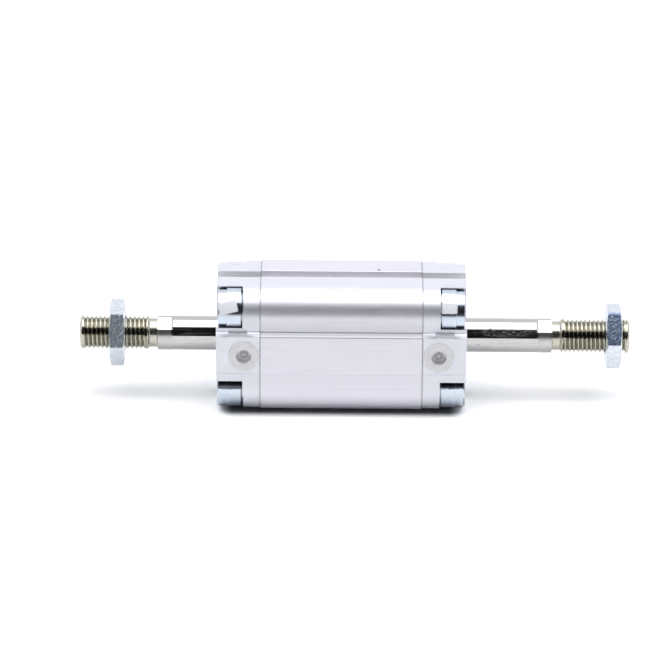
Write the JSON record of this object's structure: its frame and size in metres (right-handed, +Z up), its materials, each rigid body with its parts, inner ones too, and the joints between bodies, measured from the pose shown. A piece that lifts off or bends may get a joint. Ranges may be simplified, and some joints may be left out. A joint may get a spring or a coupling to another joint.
{
  "type": "double rod pneumatic cylinder",
  "caption": "Compact double-acting pneumatic cylinder with a through rod threaded at both ends, lock nuts, plugged side ports and sensor slots.",
  "frame": {"origin": "centre of the left cap's mounting face, on the rod axis", "axes": "+X along the rod from the left cap to the right cap, +Z up, ports face -Y"},
  "size_m": [0.1598, 0.0387, 0.037],
  "materials": {
    "barrel": "satin clear anodised extrusion",
    "cap": "satin anodised casting",
    "screw": "bright zinc plated",
    "plug": "soft translucent grey",
    "bush": "plain bearing bronze",
    "seal": "matte black",
    "cushion": "matte elastomer",
    "piston": "turned",
    "magnet": "plastic bonded magnet",
    "guide": "matte",
    "clip": "spring steel",
    "rod": "hard chromed and polished",
    "nut": "bright zinc plated"
  },
  "bodies": {
    "housing": {"barrel": "barrel", "left_cap": "cap", "right_cap": "cap", "left_screw_front_top": "screw", "left_screw_front_bottom": "screw", "left_screw_back_top": "screw", "left_screw_back_bottom": "screw", "right_screw_front_top": "screw", "right_screw_front_bottom": "screw", "right_screw_back_top": "screw", "right_screw_back_bottom": "screw", "left_port_plug": "plug", "right_port_plug": "plug", "left_rod_bush": "bush", "right_rod_bush": "bush", "left_cushion_ring": "cushion", "right_cushion_ring": "cushion", "left_rod_seal": "seal", "left_cap_oring": "seal", "right_rod_seal": "seal", "right_cap_oring": "seal"},
    "piston_seals": {"piston_guide_ring": "guide", "left_piston_seal": "seal", "right_piston_seal": "seal"},
    "piston_and_rod": {"left_piston_half": "piston", "right_piston_half": "piston", "magnet_ring": "magnet", "left_piston_clip": "clip", "right_piston_clip": "clip", "piston_oring": "seal", "piston_rod": "rod"},
    "left_nut": {"left_lock_nut": "nut"},
    "right_nut": {"right_lock_nut": "nut"}
  },
  "joints": [
    {"name": "rod_slide", "type": "slide", "parent": "housing", "child": "piston_seals", "axis": [1, 0, 0], "range_m": [-0.0199, 0.0121]},
    {"name": "rod_turn", "type": "hinge", "parent": "piston_seals", "child": "piston_and_rod", "pos_m": [0.04002, 0, 0], "axis": [1, 0, 0], "continuous": true},
    {"name": "left_nut_turn", "type": "hinge", "parent": "piston_and_rod", "child": "left_nut", "pos_m": [-0.02905, 0, 0], "axis": [1, 0, 0], "continuous": true},
    {"name": "right_nut_turn", "type": "hinge", "parent": "piston_and_rod", "child": "right_nut", "pos_m": [0.11534, 0, 0], "axis": [1, 0, 0], "continuous": true}
  ]
}
